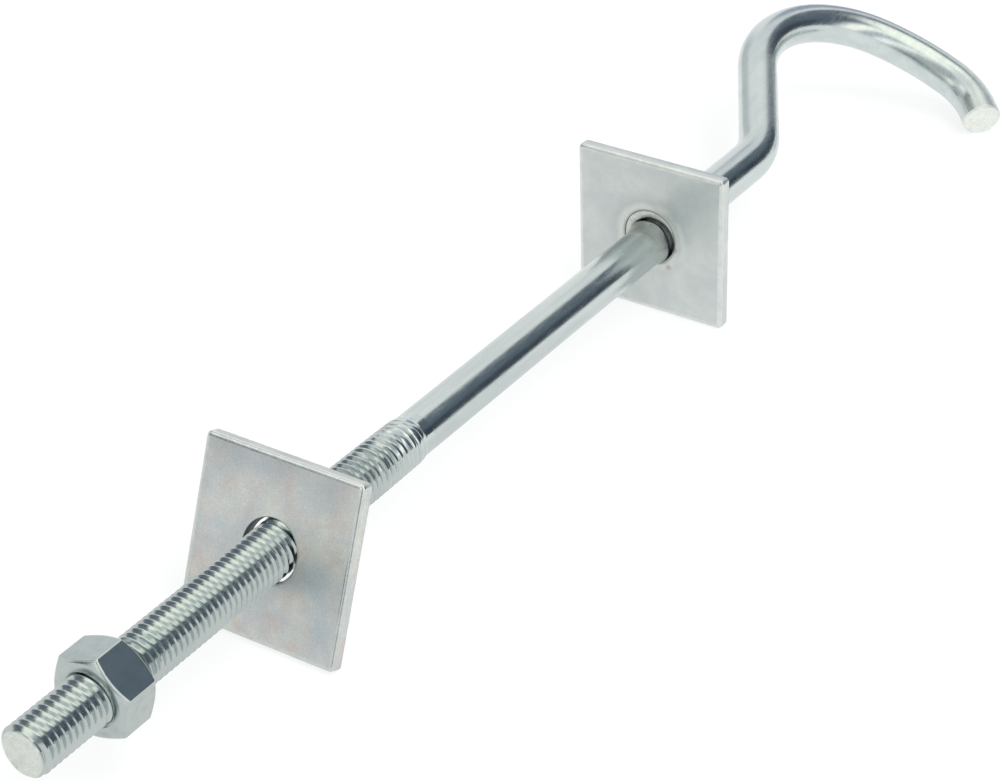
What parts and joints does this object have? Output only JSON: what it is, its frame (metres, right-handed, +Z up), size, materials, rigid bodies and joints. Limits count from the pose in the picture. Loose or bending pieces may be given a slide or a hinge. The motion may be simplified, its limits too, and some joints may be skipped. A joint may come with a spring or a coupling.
{
  "type": "through-bolt hook",
  "caption": "Threaded rod bent to an open hook, with a square plate welded on it, a loose square plate and a hex nut, to bolt through a wall or beam and hang a load from",
  "frame": {"origin": "On the rod's axis, where the thread's full diameter starts at its free end", "axes": "+X runs along the rod from the thread's free end to the hook, +Z is up as the part lies on its plates and the hook's toe, and the hook's toe hangs towards -Y and down"},
  "size_m": [0.3713, 0.0612, 0.0418],
  "materials": {
    "rod_zinc": "bright zinc plating on rolled bar",
    "plate_zinc": "bright zinc plating on sheared plate, faintly mottled",
    "nut_zinc": "bright zinc plating",
    "weld_metal": "plated weld bead with heat marks"
  },
  "bodies": {
    "hook": {"hook_rod": "rod_zinc", "welded_plate": "plate_zinc", "weld_bead": "weld_metal"},
    "nut": {"hex_nut": "nut_zinc"},
    "plate": {"loose_plate": "plate_zinc"}
  },
  "joints": [
    {"name": "nut_slide", "type": "slide", "parent": "hook", "child": "nut", "axis": [1, 0, 0], "range_m": [-0.058, 0.077]},
    {"name": "plate_slide", "type": "slide", "parent": "nut", "child": "plate", "axis": [1, 0, 0], "range_m": [-0.0435, 0.0663]}
  ]
}
